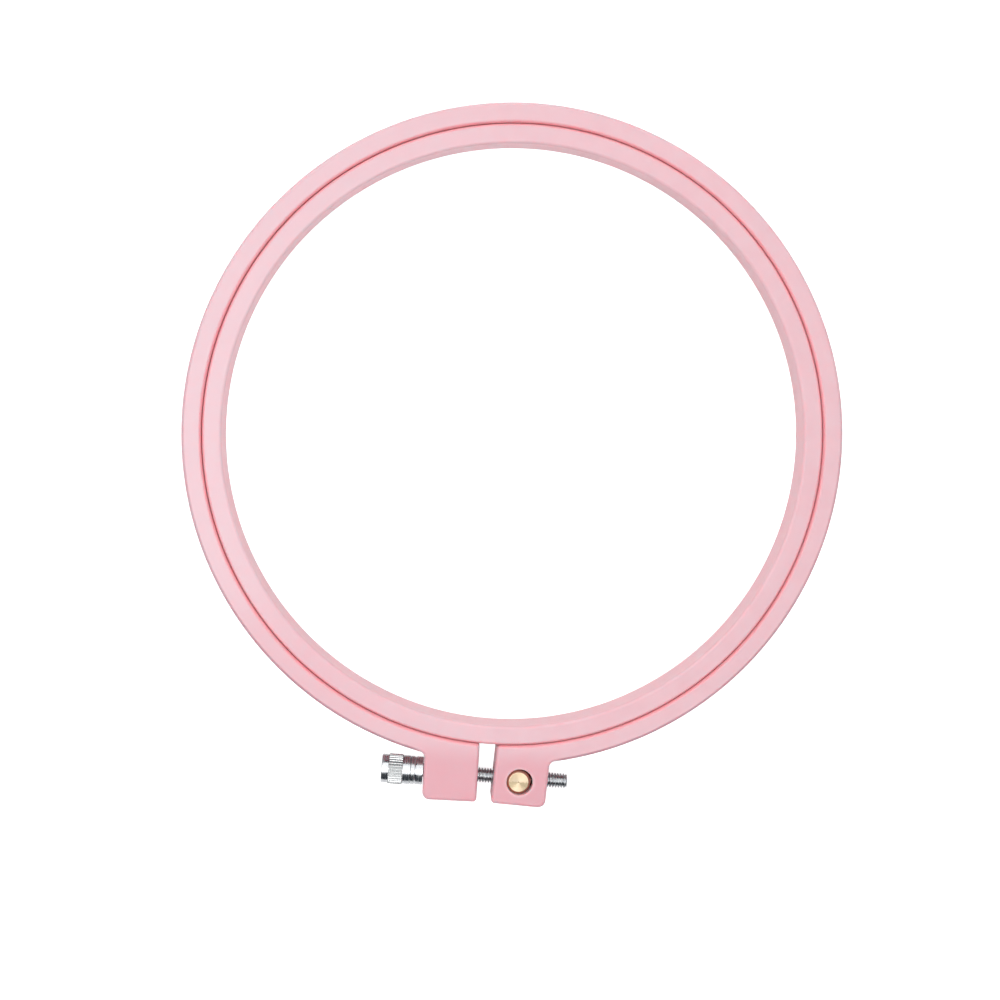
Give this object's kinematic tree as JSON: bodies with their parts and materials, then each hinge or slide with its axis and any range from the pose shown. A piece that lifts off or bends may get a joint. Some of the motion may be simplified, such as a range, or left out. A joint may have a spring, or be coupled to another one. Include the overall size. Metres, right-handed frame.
{
  "type": "embroidery hoop",
  "caption": "Round embroidery hoop: a closed inner ring in a split outer ring whose lugs are drawn together by a knurled thumb screw and a brass cross nut.",
  "frame": {"origin": "centre of the hoop's opening at half the rings' height, on the screw's plane", "axes": "+Z out of the upper face, square to the rings; the split and its lugs are at -Y; the screw runs along X with its knob at -X"},
  "size_m": [0.16, 0.1701, 0.009],
  "materials": {
    "ring_plastic": "satin, as moulded, slightly translucent",
    "nut_brass": "turned end faces",
    "screw_plating": "bright zinc plating over turned steel"
  },
  "bodies": {
    "outer_ring": {"outer_ring": "ring_plastic"},
    "inner_ring": {"inner_ring": "ring_plastic"},
    "barrel_nut": {"barrel_nut": "nut_brass"},
    "thumb_screw": {"thumb_screw": "screw_plating"}
  },
  "joints": [
    {"name": "inner_ring_lift", "type": "slide", "parent": "outer_ring", "child": "inner_ring", "axis": [0, 0, 1], "range_m": [0, 0.015]},
    {"name": "nut_swivel", "type": "hinge", "parent": "outer_ring", "child": "barrel_nut", "pos_m": [0.00819, -0.084, 0], "axis": [0, 0, 1], "range_deg": [-0.8, 0.8]},
    {"name": "screw_turn", "type": "hinge", "parent": "barrel_nut", "child": "thumb_screw", "pos_m": [0.00819, -0.084, 0], "axis": [1, 0, 0], "continuous": true}
  ]
}
